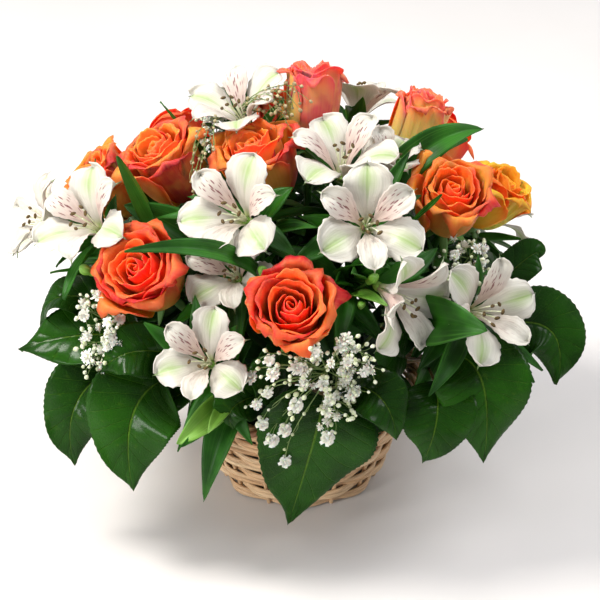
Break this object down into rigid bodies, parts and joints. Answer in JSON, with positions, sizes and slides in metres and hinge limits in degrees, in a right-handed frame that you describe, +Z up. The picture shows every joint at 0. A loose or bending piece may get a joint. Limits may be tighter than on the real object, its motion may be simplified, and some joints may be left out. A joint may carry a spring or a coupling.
{
  "type": "flower basket arrangement",
  "caption": "Low round willow basket filled with orange roses, white alstroemerias, glossy salal leaves and gypsophila, all standing in floral foam.",
  "frame": {"origin": "centre of the basket's foot, on the surface that it stands on", "axes": "+Z up; -Y is the front, the side that the picture shows"},
  "size_m": [0.3232, 0.257, 0.2431],
  "materials": {
    "rose_petals": "soft velvety rose petals, vermilion to orange with yellow insides and red rims",
    "stems": "fresh green stems, sepals and narrow leaves, slightly waxy",
    "alstroemeria_tepals": "thin satin white tepals with green midribs and maroon dashes",
    "salal_leaves": "glossy leathery deep green leaves with light veins",
    "gypsophila": "tiny matt white florets on thin pale green twigs",
    "floral_foam": "fine-pored dark green wet foam",
    "liner": "thin dark plastic liner",
    "willow": "peeled pale willow rods, satin, with darker gaps",
    "border_willow": "twisted willow border, reddish brown"
  },
  "bodies": {
    "root": {"rose_01_head": "rose_petals", "rose_01_stem": "stems", "rose_02_head": "rose_petals", "rose_02_stem": "stems", "rose_03_head": "rose_petals", "rose_03_stem": "stems", "rose_04_head": "rose_petals", "rose_04_stem": "stems", "rose_05_head": "rose_petals", "rose_05_stem": "stems", "rose_06_head": "rose_petals", "rose_06_stem": "stems", "rose_07_head": "rose_petals", "rose_07_stem": "stems", "rose_08_head": "rose_petals", "rose_08_stem": "stems", "rose_09_head": "rose_petals", "rose_09_stem": "stems", "rose_10_head": "rose_petals", "rose_10_stem": "stems", "rose_11_head": "rose_petals", "rose_11_stem": "stems", "rose_12_head": "rose_petals", "rose_12_stem": "stems", "alstroemeria_back_left_stalk": "stems", "alstroemeria_back_left_bloom_1": "alstroemeria_tepals", "alstroemeria_back_middle_stalk": "stems", "alstroemeria_back_middle_bloom_1": "alstroemeria_tepals", "alstroemeria_back_middle_bloom_2": "alstroemeria_tepals", "alstroemeria_middle_stalk": "stems", "alstroemeria_middle_bloom_1": "alstroemeria_tepals", "alstroemeria_middle_bloom_2": "alstroemeria_tepals", "alstroemeria_front_right_stalk": "stems", "alstroemeria_front_right_bloom_1": "alstroemeria_tepals", "alstroemeria_front_right_bloom_2": "alstroemeria_tepals", "alstroemeria_front_left_stalk": "stems", "alstroemeria_front_left_bloom_1": "alstroemeria_tepals", "alstroemeria_front_left_bloom_2": "alstroemeria_tepals", "alstroemeria_left_stalk": "stems", "alstroemeria_left_bloom_1": "alstroemeria_tepals", "alstroemeria_left_bloom_2": "alstroemeria_tepals", "alstroemeria_low_left_stalk": "stems", "alstroemeria_low_left_bloom_1": "alstroemeria_tepals", "alstroemeria_low_right_stalk": "stems", "alstroemeria_low_right_bloom_1": "alstroemeria_tepals", "alstroemeria_low_right_bloom_2": "alstroemeria_tepals", "salal_left": "salal_leaves", "salal_front_left": "salal_leaves", "salal_front": "salal_leaves", "salal_right": "salal_leaves", "salal_back": "salal_leaves", "gypsophila_front": "gypsophila", "gypsophila_left": "gypsophila", "gypsophila_right": "gypsophila", "gypsophila_top": "gypsophila", "foam_block": "floral_foam", "basket_liner": "liner", "basket_base": "willow", "basket_wall": "willow", "basket_border": "border_willow"}
  },
  "joints": []
}
